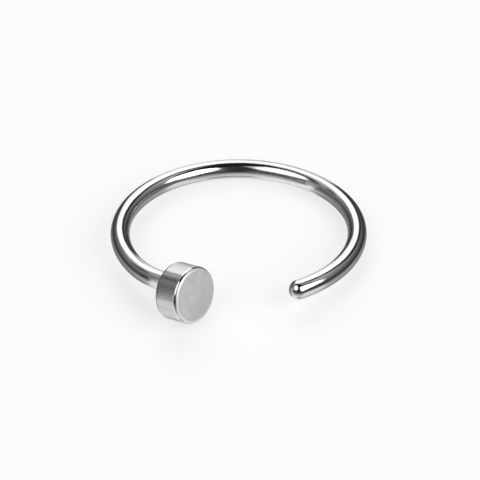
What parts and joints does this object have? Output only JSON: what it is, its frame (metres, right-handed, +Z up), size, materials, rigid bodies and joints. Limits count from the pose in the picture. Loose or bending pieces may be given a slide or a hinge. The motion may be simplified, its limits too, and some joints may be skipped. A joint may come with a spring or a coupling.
{
  "type": "piercing ring",
  "caption": "Open nose hoop of round polished titanium wire with a flat disc head at one end and a rounded free end, lying flat as it rests on a table.",
  "frame": {"origin": "on the surface that the hoop rests on, under the middle of its bounding box", "axes": "+Z up from the surface; the hoop's mouth, with the disc head on its left and the free end on its right, opens towards -Y; the hoop's plane is tipped about 4 degrees because it rests on the disc's lower edge and on the wire opposite"},
  "size_m": [0.0106, 0.0112, 0.0025],
  "materials": {
    "titanium": "bare titanium, polished to a mirror, with fine hairline scratches"
  },
  "bodies": {
    "root": {"nose_hoop": "titanium"}
  },
  "joints": []
}
